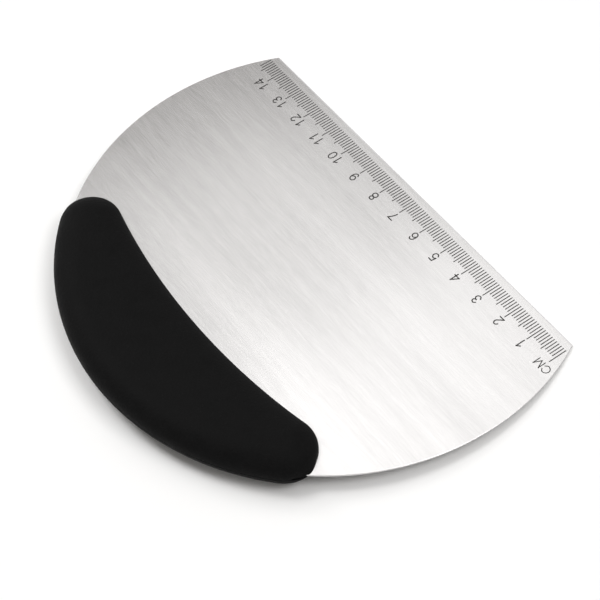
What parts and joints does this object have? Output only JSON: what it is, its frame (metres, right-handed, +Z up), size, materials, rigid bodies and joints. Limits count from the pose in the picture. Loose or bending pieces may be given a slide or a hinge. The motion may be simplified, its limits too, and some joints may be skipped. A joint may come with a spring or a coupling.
{
  "type": "pastry scraper",
  "caption": "Round steel pastry scraper with a straight edge and a soft crescent handle, for cutting, lifting and scraping dough.",
  "frame": {"origin": "on the table, under the middle of the whole tool as it lies", "axes": "+X along the straight edge, +Y from the straight edge towards the handle, +Z up"},
  "size_m": [0.1616, 0.1178, 0.0148],
  "materials": {
    "blade_steel": "fine brushed along the straight edge",
    "soft_grip": "matt soft touch",
    "core_plastic": "moulded, unpainted",
    "rivet_steel": "plain drawn"
  },
  "bodies": {
    "root": {"blade": "blade_steel", "upper_grip": "soft_grip", "lower_grip": "soft_grip", "upper_core": "core_plastic", "lower_core": "core_plastic", "rivet_1": "rivet_steel", "rivet_2": "rivet_steel", "rivet_3": "rivet_steel", "rivet_4": "rivet_steel"}
  },
  "joints": []
}
